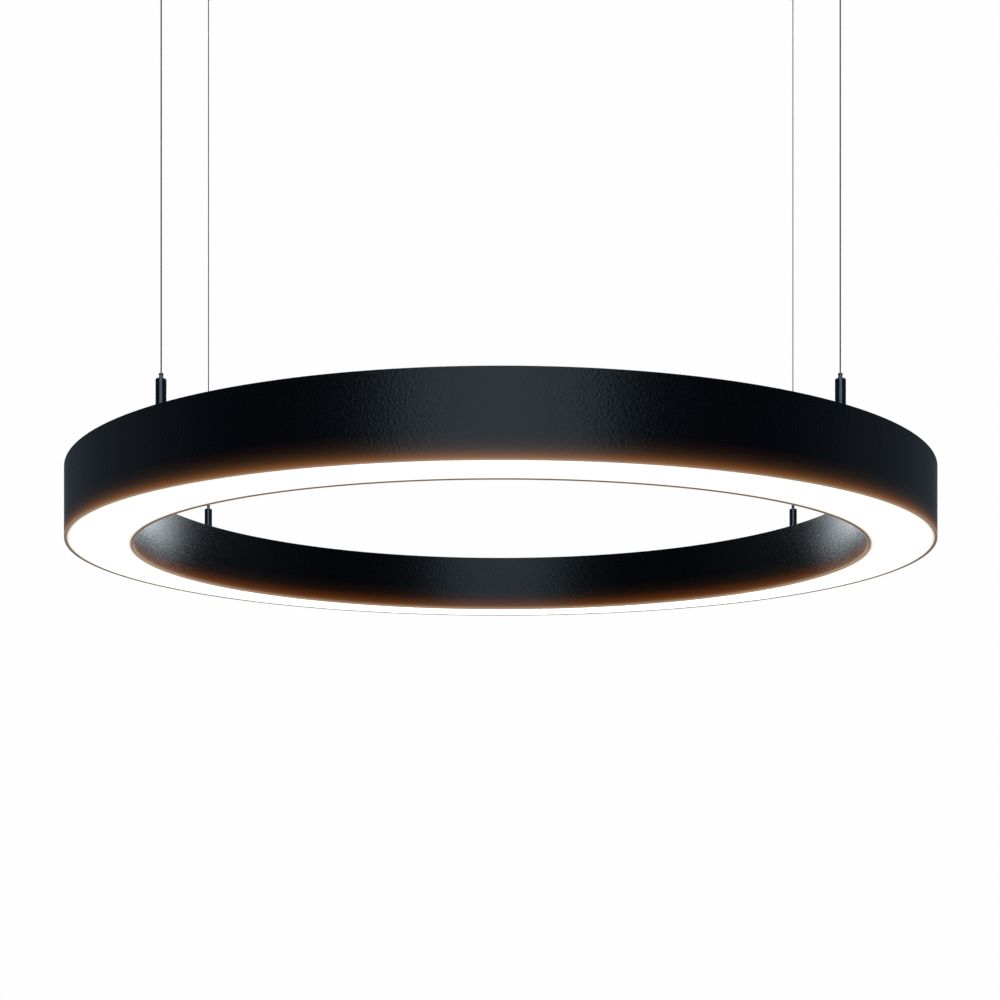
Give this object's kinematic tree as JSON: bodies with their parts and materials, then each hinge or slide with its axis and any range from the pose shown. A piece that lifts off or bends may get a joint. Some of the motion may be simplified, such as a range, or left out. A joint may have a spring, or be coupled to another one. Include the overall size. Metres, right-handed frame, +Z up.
{
  "type": "led ring chandelier",
  "caption": "Round ring light, black outside and lit by an opal face underneath, hung level on thin steel wires with push-to-release cable grippers and small ceiling fittings.",
  "frame": {"origin": "on the ring's axis, in the plane of the ceiling that the four bases are screwed to", "axes": "+Z up along the ring's axis; the picture looks along +Y, with +X to its right"},
  "size_m": [0.9, 0.9, 0.7705],
  "materials": {
    "black_coat": "fine-textured black powder coat on aluminium",
    "opal": "satin opal, lit from inside",
    "grommet_rubber": "matt",
    "zinc_steel": "zinc plated",
    "black_screws": "blackened steel",
    "terminal_plastic": "moulded, satin",
    "board_white": "white solder mask on aluminium core",
    "led_phosphor": "silicone over phosphor",
    "nickel_steel": "nickel plated",
    "driver_case": "moulded, matt",
    "lead_sheath": "smooth flexible sheath",
    "dark_nickel": "satin dark plated brass",
    "jaw_brass": "turned",
    "spring_steel": "bright wire",
    "wire_steel": "stranded galvanised wire rope"
  },
  "bodies": {
    "ceiling": {"ceiling_base_front_right": "dark_nickel", "ceiling_cap_front_right": "dark_nickel", "suspension_wire_front_right": "wire_steel", "ceiling_base_rear_right": "dark_nickel", "ceiling_cap_rear_right": "dark_nickel", "suspension_wire_rear_right": "wire_steel", "ceiling_base_rear_left": "dark_nickel", "ceiling_cap_rear_left": "dark_nickel", "suspension_wire_rear_left": "wire_steel", "ceiling_base_front_left": "dark_nickel", "ceiling_cap_front_left": "dark_nickel", "suspension_wire_front_left": "wire_steel", "wire_ferrules": "zinc_steel"},
    "ring": {"housing": "black_coat", "diffuser": "opal", "connection_cover": "black_coat", "cable_grommet": "grommet_rubber", "seam_bars": "zinc_steel", "seam_screws": "black_screws", "terminal_block": "terminal_plastic", "led_boards": "board_white", "led_strips": "led_phosphor", "gripper_nuts": "nickel_steel", "driver_right": "driver_case", "supply_lead_right": "lead_sheath", "light_lead_right": "lead_sheath", "driver_left": "driver_case", "supply_lead_left": "lead_sheath", "light_lead_left": "lead_sheath", "cover_front_right": "black_coat", "bridge_front_right": "zinc_steel", "gripper_barrel_front_right": "dark_nickel", "grip_spring_front_right": "spring_steel", "cover_rear_right": "black_coat", "bridge_rear_right": "zinc_steel", "gripper_barrel_rear_right": "dark_nickel", "grip_spring_rear_right": "spring_steel", "cover_rear_left": "black_coat", "bridge_rear_left": "zinc_steel", "gripper_barrel_rear_left": "dark_nickel", "grip_spring_rear_left": "spring_steel", "cover_front_left": "black_coat", "bridge_front_left": "zinc_steel", "gripper_barrel_front_left": "dark_nickel", "grip_spring_front_left": "spring_steel"},
    "plunger_front_right": {"release_plunger_front_right": "nickel_steel", "grip_jaws_front_right": "jaw_brass"},
    "plunger_rear_right": {"release_plunger_rear_right": "nickel_steel", "grip_jaws_rear_right": "jaw_brass"},
    "plunger_rear_left": {"release_plunger_rear_left": "nickel_steel", "grip_jaws_rear_left": "jaw_brass"},
    "plunger_front_left": {"release_plunger_front_left": "nickel_steel", "grip_jaws_front_left": "jaw_brass"}
  },
  "joints": [
    {"name": "height_adjust", "type": "slide", "parent": "ceiling", "child": "ring", "axis": [0, 0, 1], "range_m": [0, 0.5], "deforming": ["suspension_wire_front_right", "suspension_wire_rear_right", "suspension_wire_rear_left", "suspension_wire_front_left"]},
    {"name": "release_front_right", "type": "slide", "parent": "ring", "child": "plunger_front_right", "axis": [0, 0, -1], "range_m": [0, 0.0015], "stiffness_N_per_m": 200, "springref_m": -0.01, "deforming": ["grip_spring_front_right"]},
    {"name": "release_rear_right", "type": "slide", "parent": "ring", "child": "plunger_rear_right", "axis": [0, 0, -1], "range_m": [0, 0.0015], "stiffness_N_per_m": 200, "springref_m": -0.01, "deforming": ["grip_spring_rear_right"]},
    {"name": "release_rear_left", "type": "slide", "parent": "ring", "child": "plunger_rear_left", "axis": [0, 0, -1], "range_m": [0, 0.0015], "stiffness_N_per_m": 200, "springref_m": -0.01, "deforming": ["grip_spring_rear_left"]},
    {"name": "release_front_left", "type": "slide", "parent": "ring", "child": "plunger_front_left", "axis": [0, 0, -1], "range_m": [0, 0.0015], "stiffness_N_per_m": 200, "springref_m": -0.01, "deforming": ["grip_spring_front_left"]}
  ]
}
